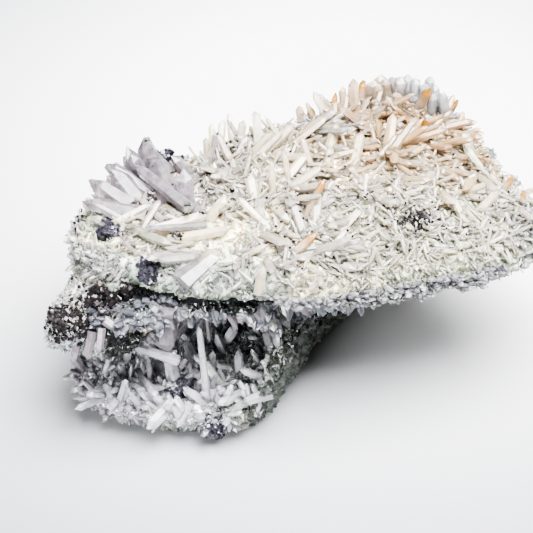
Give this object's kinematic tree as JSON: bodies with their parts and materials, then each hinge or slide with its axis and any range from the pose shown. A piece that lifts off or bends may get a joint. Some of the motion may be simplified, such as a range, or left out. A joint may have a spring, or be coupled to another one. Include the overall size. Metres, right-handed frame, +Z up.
{
  "type": "needle quartz specimen",
  "caption": "Natural cluster of needle quartz on a plate of host rock, with a crystal-lined hollow below it and dark crystals of galena and sphalerite.",
  "frame": {"origin": "middle of the flat underside of the foot's bounding box, on the surface that the specimen rests on", "axes": "+X to the right along the longest extent, +Y to the back, +Z up along the shortest extent; the hollow opens to the front, -Y"},
  "size_m": [0.1544, 0.1228, 0.0591],
  "materials": {
    "host_rock": "broken, with a dusting of green-grey chlorite",
    "quartz": "milky to clear crystal faces, stained amber in places",
    "galena": "blue-grey with a metallic lustre",
    "sphalerite": "black-brown, resinous"
  },
  "bodies": {
    "root": {"host_rock": "host_rock", "quartz_druse_top": "quartz", "quartz_druse_hollow": "quartz", "galena_front": "galena", "galena_left": "galena", "galena_back_left": "galena", "galena_back_right": "galena", "galena_right": "galena", "galena_hollow": "galena", "galena_foot": "galena", "sphalerite_shoulder": "sphalerite", "sphalerite_edge": "sphalerite"}
  },
  "joints": []
}
